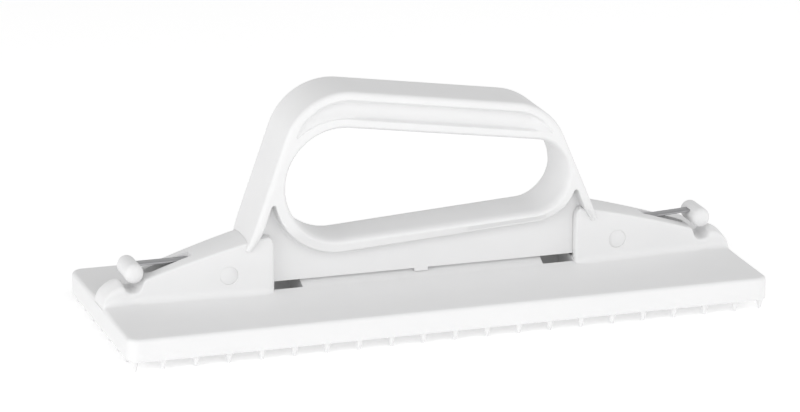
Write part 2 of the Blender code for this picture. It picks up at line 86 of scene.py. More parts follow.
def quarter(steps):
    # Angles of a quarter turn
    return [math.pi / 2 * k / steps for k in range(steps + 1)]


def arcPoints(centre, radius, start, sweep, steps):
    points = []
    for i in range(steps + 1):
        angle = start + sweep * i / steps
        points.append(Vector(centre) + Vector((math.cos(angle), math.sin(angle))) * radius)
    return points


def filletedPath(corners, radii, steps):
    # The line through the corners, each one rounded to its radius
    path = [Vector(corners[0])]
    for before, corner, after, radius in zip(corners, corners[1:], corners[2:], radii):
        corner = Vector(corner)
        back = (Vector(before) - corner).normalized()
        ahead = (Vector(after) - corner).normalized()
        opening = back.angle(ahead)
        centre = corner + (back + ahead).normalized() * radius / math.sin(opening / 2)
        first = corner + back * radius / math.tan(opening / 2) - centre
        turn = math.pi - opening
        if back.x * ahead.y - back.y * ahead.x < 0:
            turn = -turn
        for i in range(steps + 1):
            path.append(centre + Matrix.Rotation(-turn * i / steps, 2) @ first)
    path.append(Vector(corners[-1]))
    return path


def sideNormals(path, closed):
    # The mitred normal to the right of the path at each point
    normals = []
    count = len(path)
    for i, point in enumerate(path):
        legs = []
        if closed or i > 0:
            legs.append((point - path[i - 1]).normalized())
        if closed or i < count - 1:
            legs.append((path[(i + 1) % count] - point).normalized())
        rights = [Vector((leg.y, -leg.x)) for leg in legs]
        mitre = sum(rights, Vector((0.0, 0.0))).normalized()
        normals.append(mitre / max(mitre.dot(rights[0]), limits["mitre"]))
    return normals


def shifted(path, distance, closed):
    return [p + n * distance for p, n in zip(path, sideNormals(path, closed))]


def resampled(path, step):
    # The path with no gap between its points over the step
    full = [path[0]]
    for a, b in zip(path, path[1:]):
        pieces = max(1, math.ceil((b - a).length / step))
        full += [a.lerp(b, i / pieces) for i in range(1, pieces + 1)]
    return full


def crossing(first, second):
    # Segment numbers and shares where two paths first cross
    for i, (a, b) in enumerate(zip(first, first[1:])):
        for j, (c, d) in enumerate(zip(second, second[1:])):
            u, v, w = b - a, d - c, c - a
            slant = u.x * v.y - u.y * v.x
            if abs(slant) < limits["parallel"]:
                continue
            s = (w.x * v.y - w.y * v.x) / slant
            t = (w.x * u.y - w.y * u.x) / slant
            if 0 <= s <= 1 and 0 <= t <= 1:
                return i, s, j, t
    raise ValueError("the paths don't cross")


def roundedMeeting(first, second, radius, steps):
    # The first path up to a round corner, the corner's arc and the second path after it
    i, s, j, t = crossing(shifted(first, radius, False), shifted(second, radius, False))
    touchA = first[i].lerp(first[i + 1], s)
    touchB = second[j].lerp(second[j + 1], t)
    centre = touchA + sideNormals(first, False)[i] * radius
    reachA = touchA - centre
    reachB = touchB - centre
    sweep = math.atan2(reachA.x * reachB.y - reachA.y * reachB.x, reachA.dot(reachB))
    arc = [centre + Matrix.Rotation(sweep * k / steps, 2) @ reachA for k in range(steps + 1)]
    return first[: i + 1], arc, second[j + 1 :]


# Meshes


def meshObject(work, mergeGap=0.0):
    if mergeGap:
        bmesh.ops.remove_doubles(work, verts=work.verts, dist=mergeGap)
    bmesh.ops.recalc_face_normals(work, faces=work.faces)
    mesh = bpy.data.meshes.new("piece")
    work.to_mesh(mesh)
    work.free()
    made = bpy.data.objects.new("piece", mesh)
    bpy.context.scene.collection.objects.link(made)
    return made


def bridged(work, rows):
    # Quads between each row of vertices and the next
    for row, beside in zip(rows, rows[1:]):
        for i in range(len(row) - 1):
            work.faces.new((row[i], row[i + 1], beside[i + 1], beside[i]))


def lofted(rings, mergeGap=0.0):
    # Rings of points joined in their order and closed at both ends
    work = bmesh.new()
    rows = [[work.verts.new(point) for point in ring] for ring in rings]
    bridged(work, [row + row[:1] for row in rows])
    work.faces.new(rows[0])
    work.faces.new(rows[-1])
    return meshObject(work, mergeGap)


def flatSolid(outline, halfDepth):
    # A closed (x, z) outline made solid along Y
    front = [Vector((p.x, -halfDepth, p.y)) for p in outline]
    back = [Vector((p.x, halfDepth, p.y)) for p in outline]
    return lofted([front, back])


def turnedSolid(profile, facets, centre):
    # A profile of (radius, along) points turned about an axis along Y through the centre
    work = bmesh.new()
    rows = []
    for k in range(facets):
        angle = 2 * math.pi * k / facets
        ring = [
            work.verts.new((centre.x + r * math.cos(angle), y, centre.y + r * math.sin(angle)))
            for r, y in profile
        ]
        rows.append(ring)
    bridged(work, rows + rows[:1])
    return meshObject(work, limits["mergeTurned"])


def applied(piece):
    # The piece as its modifiers leave it, in a plain mesh
    bpy.context.view_layer.update()
    evaluated = piece.evaluated_get(bpy.context.evaluated_depsgraph_get())
    mesh = bpy.data.meshes.new_from_object(evaluated)
    piece.modifiers.clear()
    old = piece.data
    piece.data = mesh
    bpy.data.meshes.remove(old)
    return piece


def cutBy(piece, other):
    step = piece.modifiers.new("step", "BOOLEAN")
    step.operation = "DIFFERENCE"
    step.solver = "EXACT"
    step.object = other
    applied(piece)
    bpy.data.objects.remove(other, do_unlink=True)
    return piece


def cleaned(piece):
    # No edges shorter than the merging distance
    work = bmesh.new()
    work.from_mesh(piece.data)
    bmesh.ops.dissolve_degenerate(work, edges=work.edges, dist=limits["mergeCut"])
    work.to_mesh(piece.data)
    work.free()
    return piece


def finished(piece, name, material, body, slot, *nodes):
    # A piece without a body is blended between two of them afterwards
    piece.data.shade_smooth()
    piece.data.set_sharp_from_angle(angle=limits["smooth"])
    piece.name = name
    piece.data.name = name
    piece.data.materials.clear()
    piece.data.materials.append(material)
    for face in piece.data.polygons:
        face.material_index = 0
    if body:
        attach(piece, body)
    if nodes:
        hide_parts(*nodes)
    print("made", name, len(piece.data.polygons), "faces")


# Node trees for the materials, the studs and the sky


class Flow:
    # The output of a node; sums on it add Math nodes

    def __init__(self, maker, socket):
        self.maker = maker
        self.socket = socket

    def sum(self, operation, first, second):
        return self.maker.node("ShaderNodeMath", {0: first, 1: second}, operation=operation)

    def __add__(self, other):
        return self.sum("ADD", self, other)

    __radd__ = __add__

    def __sub__(self, other):
        return self.sum("SUBTRACT", self, other)

    def __rsub__(self, other):
        return self.sum("SUBTRACT", other, self)

    def __mul__(self, other):
        return self.sum("MULTIPLY", self, other)

    __rmul__ = __mul__

    def __truediv__(self, other):
        return self.sum("DIVIDE", self, other)

    def __rtruediv__(self, other):
        return self.sum("DIVIDE", other, self)


class Maker:
    # A node tree and one way to add nodes to it

    def __init__(self, tree):
        self.tree = tree

    def feed(self, socket, value):
        if isinstance(value, Flow):
            self.tree.links.new(value.socket, socket)
        else:
            socket.default_value = value

    def node(self, kind, inputs=(), output=0, **settings):
        made = self.tree.nodes.new(kind)
        for key, value in settings.items():
            setattr(made, key, value)
        for key, value in dict(inputs).items():
            for item in value if isinstance(value, list) else [value]:
                self.feed(made.inputs[key], item)
        return Flow(self, made.outputs[output])

    def parts(self, vector):
        # The numbers x, y and z of a vector
        split = self.node("ShaderNodeSeparateXYZ", {0: vector})
        return [Flow(self, socket) for socket in split.socket.node.outputs]


class Finish(Maker):
    # A Principled material

    def __init__(self, name, fixed):
        self.material = bpy.data.materials.new(name)
        self.material.use_nodes = True
        super().__init__(self.material.node_tree)
        for key, value in fixed.items():
            self.set(key, value)

    def set(self, name, value):
        self.feed(self.tree.nodes["Principled BSDF"].inputs[name], value)

    def noise(self, scale, stretch=(1.0, 1.0, 1.0), detail=2.0):
        coordinates = self.node("ShaderNodeTexCoord", output=3)
        place = self.node("ShaderNodeMapping", {"Vector": coordinates, "Scale": stretch})
        inputs = {"Vector": place, "Scale": scale, "Detail": detail}
        return self.node("ShaderNodeTexNoise", inputs)

    def mix(self, share, dark, light):
        inputs = {0: share, 6: dark, 7: light}
        return self.node("ShaderNodeMix", inputs, 2, data_type="RGBA")

    def bump(self, strength, distance, height):
        inputs = {"Strength": strength, "Distance": distance, "Height": height}
        self.set("Normal", self.node("ShaderNodeBump", inputs))


plastic = {
    "tone": (0.795, 0.795, 0.797, 1.0),
    "shade": (0.765, 0.765, 0.767, 1.0),
    "roughness": 0.55,
    "roughnessSpread": 0.10,
    "cloudScale": 60.0,
    "cloudShare": 0.6,
    "rubScale": 420.0,
    "rubStretch": (0.12, 1.0, 1.0),
    "rubShare": 0.4,
    "grainScale": 1400.0,
    "grainDepth": 0.000012,
    "grainStrength": 0.35,
    "specular": 0.3,
    "ior": 1.49,
}


def plasticFinish(name, seedShift):
    # The shift sets the pieces' patterns apart
    finish = Finish(name, {"IOR": plastic["ior"], "Specular IOR Level": plastic["specular"]})
    cloud = finish.noise(plastic["cloudScale"] + seedShift, detail=3.0)
    rub = finish.noise(plastic["rubScale"], plastic["rubStretch"])
    grain = finish.noise(plastic["grainScale"] + seedShift)
    finish.set("Base Color", finish.mix(cloud, plastic["shade"], plastic["tone"]))
    spread = plastic["roughnessSpread"]
    wear = plastic["cloudShare"] * cloud + plastic["rubShare"] * rub
    finish.set("Roughness", plastic["roughness"] - spread / 2 + spread * wear)
    finish.bump(plastic["grainStrength"], plastic["grainDepth"], grain)
    return finish.material


steel = {
    "light": (0.50, 0.50, 0.51, 1.0),
    "dark": (0.34, 0.34, 0.35, 1.0),
    "roughness": 0.28,
    "roughnessSpread": 0.16,
    "cloudScale": 180.0,
    "cloudShare": 0.5,
    "lineScale": 2200.0,
    "lineStretch": (0.02, 1.0, 1.0),
    "lineShare": 0.5,
    "lineDepth": 0.000004,
    "lineStrength": 0.4,
}


def steelFinish(name):
    finish = Finish(name, {"Metallic": 1.0})
    lines = finish.noise(steel["lineScale"], steel["lineStretch"], detail=3.0)
    cloud = finish.noise(steel["cloudScale"])
    share = steel["lineShare"] * lines + steel["cloudShare"] * cloud
    finish.set("Base Color", finish.mix(share, steel["dark"], steel["light"]))
    finish.set("Roughness", steel["roughness"] + steel["roughnessSpread"] * lines)
    finish.bump(steel["lineStrength"], steel["lineDepth"], lines)
    return finish.material


baseFinish = plasticFinish("basePlastic", 0.0)
handleFinish = plasticFinish("handlePlastic", 7.0)
barrelFinish = plasticFinish("barrelPlastic", 13.0)
pinFinish = plasticFinish("pinPlastic", 19.0)
stripFinish = steelFinish("springSteel")
print("finishes ready")

# Base moulding: plate, coves, rib, towers, notches and ridges in one loft from end to end

plate = {
    "halfLength": baseHigh.x,
    "halfWidth": baseHigh.y,
    "thickness": 0.0080,
    "cornerRadius": 0.0045,
    "topRound": 0.0014,
    "edgeSteps": 7,
    "bottomRound": 0.0004,
    "bottomShares": (2.5, 1.0, 0.3, 0.0),
    "landShare": 1.3,
    "coveRise": 0.0013,
    "coveRun": 0.0200,
    "coveSteps": 12,
    "ribHalfWidth": 0.0041,
    "ribHeight": 0.0118,
    "ribEdge": 0.0002,
    "ribSide": 0.0003,
    "ribStations": 12,
    "cornerStations": 10,
    "stationGap": 0.00002,
}

tower = {
    "start": 0.0550,
    "halfWidth": 0.0094,
    "endHalfWidth": 0.0057,
    "middle": 0.0800,
    "height": 0.0239,
    "slope": 0.2853,
    "sag": 1.5,
    "cornerRun": 0.0026,
    "cornerDrop": 0.0045,
    "cornerShares": (0, 0.03, 0.1, 0.25, 0.45, 0.7),
    "roofStep": 0.0012,
    "roofSteps": 39,
    "crown": 0.0005,
    "crownShare": 0.15,
    "crownSteps": 6,
    "edge": 0.0009,
    "edgeShare": 0.35,
    "edgeSteps": 5,
    "ridgeEdge": 0.0026,
    "ridgeCrown": 0.0012,
    "softFrom": 0.1040,
    "softRun": 0.0040,
    "endEdge": 0.0009,
    "footRound": 0.0026,
    "footRoundRun": 0.0040,
    "footShare": 0.5,
    "footSteps": 8,
    "leastRise": 0.00002,
    "lipRound": 0.0020,
    "crestRound": 0.0016,
    "lipSteps": 6,
    "notchPlace": 0.1039,
    "notchFloor": 0.0130,
    "notchRadius": 0.0030,
    "notchInner": math.radians(71.0),
    "notchOuter": math.radians(74.0),
    "notchSteps": 14,
    "wallRuns": (0.012, 0.010),
    "wallStep": 0.0008,
    "ridgeStart": 0.1072,
    "ridgeLead": 0.0025,
    "ridgeSteps": 22,
    "ridgeHeight": 0.0165,
    "ridgeSetback": 0.0003,
    "ridgePower": 1.8,
}

recess = {
    "leftPocketStart": 0.0444,
    "rightPocketStart": 0.0435,
    "pocketEnd": 0.0548,
    "pocketHalfWidth": 0.0078,
    "pocketFloor": 0.0015,
    "channelStart": 0.0826,
    "channelEnd": 0.0988,
    "channelHalfWidth": 0.0026,
    "channelFloor": 0.0115,
    "channelSteps": 16,
    "slotHalfWidth": 0.0065,
    "slotFloor": 0.0109,
    "slotLead": 0.0020,
    "leftSlotEnd": 0.0619,
    "rightSlotEnd": 0.0597,
    "cutTop": 0.0450,
}


def clampedRoot(square):
    return math.sqrt(max(square, 0.0))


def roundDrop(run):
    # How far a quarter round of radius one lies below its flat, a run in from its end
    return 1.0 - clampedRoot(1.0 - (1.0 - run) ** 2)


def outlineHalf(x, inset):
    # Half width of the plate's outline drawn in by the inset
    inset = min(inset, plate["halfLength"] - x)
    radius = plate["cornerRadius"]
    run = x - (plate["halfLength"] - radius)
    straight = plate["halfWidth"] - inset
    if run <= 0:
        return straight
    reach = radius - inset
    return plate["halfWidth"] - radius + clampedRoot(reach * reach - run * run)


def edgeRise(x, inset, radius):
    # How far a rounded edge has risen at a distance in from the plate's outline
    away = radius - min(inset, plate["halfLength"] - x, radius)
    return clampedRoot(radius * radius - away * away)


def topAt(x, inset):
    radius = plate["topRound"]
    return plate["thickness"] - radius + edgeRise(x, inset, radius)


def bottomAt(x, inset):
    radius = plate["bottomRound"]
    return radius - edgeRise(x, inset, radius)


def towerTaper(x):
    share = (x - tower["start"]) / (plate["halfLength"] - tower["start"])
    return between(tower["halfWidth"], tower["endHalfWidth"], share)


def towerHalf(x):
    half = towerTaper(x)
    run = (x - tower["start"]) / tower["endEdge"]
    if run < 1.0:
        half -= tower["endEdge"] * roundDrop(run)
    return half


def roofLine(x):
    run = x - tower["middle"]
    height = tower["height"] - tower["slope"] * run - tower["sag"] * run * run
    corner = (x - tower["start"]) / tower["cornerRun"]
    if corner < 1.0:
        height -= tower["cornerDrop"] * roundDrop(corner)
    return height


def ridgeShare(x):
    last = plate["halfLength"] - tower["ridgeSetback"]
    share = unit((x - tower["ridgeStart"]) / (last - tower["ridgeStart"]))
    return clampedRoot(1.0 - share ** tower["ridgePower"])


def crestPath():
    # Tower roof, notch and ridge as one line, with round lips
    roofXs = [tower["start"] + tower["cornerRun"] * s for s in tower["cornerShares"]]
    first = tower["start"] + tower["cornerRun"]
    roofXs += [first + tower["roofStep"] * k for k in range(tower["roofSteps"])]
    roof = [Vector((x, roofLine(x))) for x in roofXs]
    centre = Vector((tower["notchPlace"], tower["notchFloor"] + tower["notchRadius"]))
    inner = tower["notchInner"]
    outer = tower["notchOuter"]
    start = -math.pi / 2 - inner
    bowl = arcPoints(centre, tower["notchRadius"], start, inner + outer, tower["notchSteps"])
    wall = Vector((-math.cos(inner), math.sin(inner)))
    farWall = Vector((math.cos(outer), math.sin(outer)))
    nearRun, farRun = tower["wallRuns"]
    notch = [bowl[0] + wall * nearRun] + bowl + [bowl[-1] + farWall * farRun]
    notch = resampled(notch, tower["wallStep"])
    first = tower["ridgeStart"] - tower["ridgeLead"]
    last = plate["halfLength"] - tower["ridgeSetback"]
    ridgeXs = [between(first, last, math.sin(a)) for a in quarter(tower["ridgeSteps"])]
    rise = tower["ridgeHeight"] - plate["thickness"]
    ridge = [Vector((x, topAt(x, 1.0) + rise * ridgeShare(x))) for x in ridgeXs]
    steps = tower["lipSteps"]
    near, lip, rest = roundedMeeting(roof, notch, tower["lipRound"], steps)
    middle, crest, far = roundedMeeting(rest, ridge, tower["crestRound"], steps)
    return near + lip + middle + crest + far


def valueAt(path, x):
    if x <= path[0].x:
        return path[0].y
    for a, b in zip(path, path[1:]):
        if a.x <= x <= b.x and b.x > a.x:
            return a.y + (b.y - a.y) * (x - a.x) / (b.x - a.x)
    return path[-1].y


def halfSection(x, crest, half, edge, crown, foot, footRound):
    # (y, z) points on the +Y side, from the underside's middle round to the crest
    points = [Vector((0.0, bottomAt(x, 1.0)))]
    for share in plate["bottomShares"]:
        inset = plate["bottomRound"] * share
        points.append(Vector((outlineHalf(x, inset), bottomAt(x, inset))))
    top = plate["topRound"]
    points.append(Vector((outlineHalf(x, 0.0), plate["thickness"] / 2)))
    for angle in quarter(plate["edgeSteps"]):
        inset = top * (1.0 - math.cos(angle))
        points.append(Vector((outlineHalf(x, inset), topAt(x, inset))))
    level = topAt(x, 1.0)
    land = outlineHalf(x, top * plate["landShare"])
    points.append(Vector((land, level)))
    rise = plate["coveRise"] * ridgeShare(x)
    coveShare = 1.0 - (max(foot, half + footRound) - foot) / plate["coveRun"]
    steps = plate["coveSteps"]
    for k in range(steps + 1):
        share = 1.0 - k / steps * coveShare
        y = min(foot + plate["coveRun"] * share, land)
        points.append(Vector((y, level + rise * (1.0 - share) ** 2)))
    start = points[-1]
    steps = tower["footSteps"]
    if footRound > 0.0:
        for angle in quarter(steps)[1:]:
            y = half + footRound * (1.0 - math.sin(angle))
            z = start.y + footRound * (1.0 - math.cos(angle))
            points.append(Vector((y, z)))
    else:
        # Hollow that carries the cove on up to the rib, under the handle's web
        run = start.x - half
        slope = 2.0 * rise / plate["coveRun"]
        bend = (crest - plate["ribSide"] - start.y - slope * run) / run ** 2
        for k in range(1, steps + 1):
            reach = run * k / steps
            height = start.y + slope * reach + bend * reach ** 2
            points.append(Vector((start.x - reach, height)))
    low = points[-1].y
    high = crest - crown - edge
    points.append(Vector((half, (low + high) / 2)))
    for angle in quarter(tower["edgeSteps"]):
        y = half - edge * (1.0 - math.cos(angle))
        points.append(Vector((y, high + edge * math.sin(angle))))
    shoulder = half - edge
    steps = tower["crownSteps"]
    for k in range(1, steps + 1):
        share = 1.0 - k / steps
        points.append(Vector((shoulder * share, crest - crown * share * share)))
    return points


def towerSection(x, crest, grow=0.0):
    level = topAt(x, 1.0) + plate["coveRise"] * ridgeShare(x)
    spare = max(crest - level, tower["leastRise"])
    half = towerHalf(x) + grow
    growth = min((x - tower["start"]) / tower["footRoundRun"], 1.0)
    footRound = tower["footRound"] * math.sin(growth * math.pi / 2)
    footRound = max(min(footRound, spare * tower["footShare"]), tower["leastRise"])
    soft = unit((x - tower["softFrom"]) / tower["softRun"])
    edge = between(tower["edge"], tower["ridgeEdge"], soft)
    crown = between(tower["crown"], tower["ridgeCrown"], soft)
    edge = min(edge, spare * tower["edgeShare"])
    crown = min(crown, spare * tower["crownShare"])
    return halfSection(x, crest, half, edge, crown, towerTaper(x) + grow, footRound)


def ribSection(x):
    half = plate["ribHalfWidth"]
    foot = tower["halfWidth"]
    return halfSection(x, plate["ribHeight"], half, plate["ribEdge"], 0.0, foot, 0.0)


def wholeRing(x, side, section):
    right = [Vector((side * x, p.x, p.y + underside)) for p in section]
    left = [Vector((side * x, -p.x, p.y + underside)) for p in reversed(section[1:-1])]
    return right + left


def distinct(xs):
    return {round(x, limits["digits"]) for x in xs}


def makeBase():
    # One loft from end to end
    path = crestPath()
    last = plate["halfLength"]
    corner = plate["cornerRadius"]
    top = plate["topRound"]
    start = tower["start"]
    gap = plate["stationGap"]
    places = distinct(p.x for p in path if p.x < last)
    turns = quarter(plate["cornerStations"])
    places |= distinct(last - corner + corner * math.sin(a) for a in turns)
    places |= distinct(last - top + top * math.sin(a) for a in quarter(plate["edgeSteps"]))
    stations = []
    for x in sorted(places):
        if not stations or x - stations[-1] > gap:
            stations.append(x)
    stations[-1] = last
    towers = [(x, towerSection(x, valueAt(path, x))) for x in stations]
    count = plate["ribStations"]
    ribs = [start * k / count for k in range(count)] + [start - gap]
    half = [(x, ribSection(x)) for x in ribs] + towers
    rings = [wholeRing(x, -1, section) for x, section in reversed(half[1:])]
    rings += [wholeRing(x, 1, section) for x, section in half]
    return lofted(rings, limits["mergeLofted"])


def cutBox(side, near, far, half, floor):
    # A box on one side that cuts down to the floor
    near, far = sorted((side * near, side * far))
    low = Vector((near, -half, floor + underside))
    high = Vector((far, half, recess["cutTop"] + underside))
    work = bmesh.new()
    bmesh.ops.create_cube(work, size=1.0)
    bmesh.ops.scale(work, vec=high - low, verts=work.verts)
    bmesh.ops.translate(work, vec=(high + low) / 2, verts=work.verts)
    return meshObject(work)


def slotBox(word, near):
    # The slot in a tower for the tongue of the handle's web
    end = recess[word + "SlotEnd"]
    return cutBox(signs[word], near, end, recess["slotHalfWidth"], recess["slotFloor"])


strip = {
    "halfWidth": 0.0021,
    "halfThickness": 0.0003,
    "bend": (0.0840, 0.0212348),
    "eyeRun": (0.0131, 0.0048),
    "wrap": math.radians(285.0),
    "eyeSteps": 48,
    "tail": 0.0010,
    "step": 0.0008,
    "lift": {"left": 0.0, "right": math.radians(3.0)},
    "edge": 0.00006,
    "edgeSteps": 2,
    "edgeAngle": math.radians(60.0),
    "blendEnd": 0.0018,
}

pin = {
    "headRadius": 0.0032,
    "shankRadius": 0.0017,
    "eyeGap": 0.0003,
    "recess": 0.00003,
    "shoulderGap": 0.0014,
    "bevel": 0.00008,
    "bevelShare": 0.3,
    "gap": 0.00002,
    "facets": 64,
}

barrel = {
    "reach": 0.0193,
    "shift": 0.0003,
    "drop": 0.0018,
    "radius": 0.0033,
    "tallness": 1.05,
    "halfLength": 0.0077,
    "endRadius": 0.0027,
    "endSteps": 10,
    "facets": 64,
}

grip = {
    "leftFoot": (-0.0651, 0.0250),
    "leftShoulder": (-0.0450, 0.0812),
    "leftShoulderRadius": 0.0225,
    "rightShoulder": (0.0448, 0.0681),
    "rightShoulderRadius": 0.0220,
    "rightFoot": (0.0629, 0.0250),
    "footTaper": 0.0080,
    "footHalfWidth": 0.0098,
    "footThickness": 0.0020,
    "halfWidth": 0.0120,
    "thickness": 0.0031,
    "outerEdge": 0.0018,
    "outerEdgeShare": 0.58,
    "innerEdge": 0.0007,
    "innerEdgeShare": 0.25,
    "openingEdge": (0.0016, 0.0038),
    "openingLeft": (-0.0312, 0.0459),
    "openingLeftRadius": 0.0198,
    "openingRight": (0.0382, 0.0429),
    "openingRightRadius": 0.0129,
    "ringLeft": (-0.0315, 0.0455),
    "ringLeftRadius": 0.0240,
    "ringRight": (0.0378, 0.0426),
    "ringRightRadius": 0.0168,
    "webHalf": 0.0062,
    "webBottom": 0.0121,
    "leftTongue": -0.0616,
    "rightTongue": 0.0594,
    "lugPlace": -0.0010,
    "lugHalf": 0.0024,
    "lugBottom": 0.0109,
    "draft": 0.0002,
    "fillet": 0.0009,
    "wedgeRadius": 0.0008,
    "tipRadius": 0.0005,
    "recessUnderFlange": 0.0030,
    "recessAtRing": {"left": 0.0008, "right": 0.0001, "from": -0.0350, "to": 0.0050},
    "guard": 0.0001,
    "towerGap": 0.00008,
    "cutEnd": 0.0700,
    "lineStep": 0.0016,
    "ringStep": 0.0020,
    "beltSteps": 56,
    "shoulderSteps": 28,
    "wedgeSteps": 8,
    "tipSteps": 6,
    "edgeSteps": 7,
    "wallSteps": 5,
    "floorSpacing": (0.0016, 0.0006),
    "shallowShare": 0.25,
    "deepShare": 0.50,
    "wallShare": 0.45,
    "draftShare": 0.1,
    "draftEnds": (0.05, 0.95),
    "restShare": 0.02,
    "openingShare": 0.32,
    "filletShare": 0.25,
}

fitGap = 0.0001
eyeCentre = Vector(strip["bend"]) - Vector(strip["eyeRun"])
eyeRadius = pin["shankRadius"] + pin["eyeGap"] + strip["halfThickness"]


def onSide(points, side):
    return [Vector((side * p.x, p.y + underside)) for p in points]


def bandSolid(path, side, gap=0.0):
    # A strip along the path, grown by the gap
    half = strip["halfThickness"] + gap
    outline = shifted(path, half, False) + shifted(path, -half, False)[::-1]
    return flatSolid(onSide(outline, side), strip["halfWidth"] + gap)


def stripTangent():
    # Where the strip runs on to its eye, as an angle round the eye and a point
    span = Vector(strip["bend"]) - eyeCentre
    angle = math.atan2(span.y, span.x) - math.asin(eyeRadius / span.length) + math.pi / 2
    return angle, eyeCentre + Vector((math.cos(angle), math.sin(angle))) * eyeRadius


def stripEnd(lift, extra):
    # A point of the raised strip, at the barrel's reach and the extra from the bend
    along = Vector((math.cos(lift), math.sin(lift)))
    return Vector(strip["bend"]) + along * (barrel["reach"] + extra)


def channelCutter(side):
    # Upright cutter with a round outer end
    half = recess["channelHalfWidth"]
    centre = (recess["channelEnd"] - half, 0.0)
    turn = arcPoints(centre, half, -math.pi / 2, math.pi, recess["channelSteps"])
    start = recess["channelStart"]
    outline = [Vector((start, -half))] + turn + [Vector((start, half))]
    levels = (recess["channelFloor"] + underside, recess["cutTop"] + underside)
    return lofted([[Vector((side * q.x, q.y, z)) for q in outline] for z in levels])


def cutBase(base):
    left = grip["lugPlace"] - (grip["lugHalf"] + fitGap)
    right = grip["lugPlace"] + (grip["lugHalf"] + fitGap)
    cutBy(base, cutBox(1, left, right, tower["halfWidth"], grip["lugBottom"] - fitGap))
    beyond = Vector(strip["bend"]) + Vector((strip["tail"], 0.0))
    route = [beyond, Vector(strip["bend"]), stripTangent()[1]]
    radius = pin["headRadius"] + pin["gap"]
    reach = tower["halfWidth"] * 2
    profile = [(0.0, reach), (radius, reach), (radius, -reach), (0.0, -reach)]
    end = recess["pocketEnd"]
    for word, side in signs.items():
        start = recess[word + "PocketStart"]
        pocket = cutBox(side, start, end, recess["pocketHalfWidth"], recess["pocketFloor"])
        passage = bandSolid(route, side, fitGap)
        bore = turnedSolid(profile, pin["facets"], onSide([eyeCentre], side)[0])
        for cutter in (pocket, slotBox(word, end), channelCutter(side), passage, bore):
            cutBy(base, cutter)
    return cleaned(base)


base = cutBase(makeBase())
finished(base, "baseMoulding", baseFinish, "holder", "base_plastic", "base_plate")

# Springs, barrels and pins


def makeStrip(word, side):
    lift = strip["lift"][word]
    angle, tangent = stripTangent()
    loop = arcPoints(eyeCentre, eyeRadius, angle, strip["wrap"], strip["eyeSteps"])
    end = stripEnd(lift, strip["tail"])
    path = resampled([end, Vector(strip["bend"]), tangent], strip["step"]) + loop[1:]
    piece = bandSolid(path, side)
    bevel = piece.modifiers.new("edges", "BEVEL")
    bevel.width = strip["edge"]
    bevel.segments = strip["edgeSteps"]
    bevel.limit_method = "ANGLE"
    bevel.angle_limit = strip["edgeAngle"]
    return applied(piece)


def barrelProfile():
    corner = barrel["endRadius"]
    half = barrel["halfLength"]
    centre = (barrel["radius"] - corner, half - corner)
    upper = arcPoints(centre, corner, math.pi / 2, -math.pi / 2, barrel["endSteps"])
    lower = [Vector((p.x, -p.y)) for p in reversed(upper)]
    return [(0.0, half)] + [tuple(p) for p in upper + lower] + [(0.0, -half)]


def makeBarrel(word, side):
    lift = strip["lift"][word]
    across = Vector((math.sin(lift), -math.cos(lift)))
    centre = stripEnd(lift, barrel["shift"]) + across * barrel["drop"]
    piece = turnedSolid(barrelProfile(), barrel["facets"], onSide([centre], side)[0])
    # Slightly taller than wide
    level = centre.y + underside
    for vertex in piece.data.vertices:
        vertex.co.z = level + (vertex.co.z - level) * barrel["tallness"]
    route = [stripEnd(lift, strip["tail"] + fitGap), stripEnd(lift, -barrel["reach"] / 2)]
    return cutBy(piece, bandSolid(route, side, fitGap))


def makePin(side):
    half = towerTaper(eyeCentre.x + pin["headRadius"]) - pin["recess"]
    shoulder = strip["halfWidth"] + pin["shoulderGap"]
    head = pin["headRadius"]
    bevel = pin["bevel"]
    inset = bevel * pin["bevelShare"]
    upper = [
        (0.0, half),
        (head - bevel, half),
        (head - inset, half - inset),
        (head, half - bevel),
        (head, shoulder),
        (pin["shankRadius"], shoulder),
    ]
    profile = upper + [(r, -y) for r, y in reversed(upper)]
    return turnedSolid(profile, pin["facets"], onSide([eyeCentre], side)[0])


for word, side in signs.items():
    clamp = word + "_clamp"
    spring = makeStrip(word, side)
    finished(spring, word + "Spring", stripFinish, None, "strip_steel", word + "_spring_strip")
    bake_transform(spring)
    roller = makeBarrel(word, side)
    finished(roller, word + "Barrel", barrelFinish, clamp, "barrel_plastic", word + "_clamp_barrel")
    crossPin = makePin(side)
    finished(crossPin, word + "Pin", pinFinish, "holder", "pin_plastic", word + "_anchor_pin")

# Handle: flange, ring and web as one sheet of rows, mirrored across the middle plane


def footShare(z):
    share = (z - grip["leftFoot"][1]) / grip["footTaper"]
    return math.sin(unit(share) * math.pi / 2)


def gripHalf(z):
    return between(grip["footHalfWidth"], grip["halfWidth"], footShare(z))


def gripThickness(z):
    return between(grip["footThickness"], grip["thickness"], footShare(z))


def edgeRadius(z, word):
    return min(grip[word], gripThickness(z) * grip[word + "Share"])


def beltLine(word):
    # A line drawn tight round two circles
    left = grip[word + "Left"]
    right = grip[word + "Right"]
    leftRadius = grip[word + "LeftRadius"]
    rightRadius = grip[word + "RightRadius"]
    steps = grip["beltSteps"]
    span = Vector(right) - Vector(left)
    heading = math.atan2(span.y, span.x)
    splay = math.asin((leftRadius - rightRadius) / span.length)
    top = heading + math.pi / 2 - splay
    bottom = heading - math.pi / 2 + splay
    leftEnd = arcPoints(left, leftRadius, top, 2 * math.pi - (top - bottom), steps)
    return leftEnd + arcPoints(right, rightRadius, bottom, top - bottom, steps)


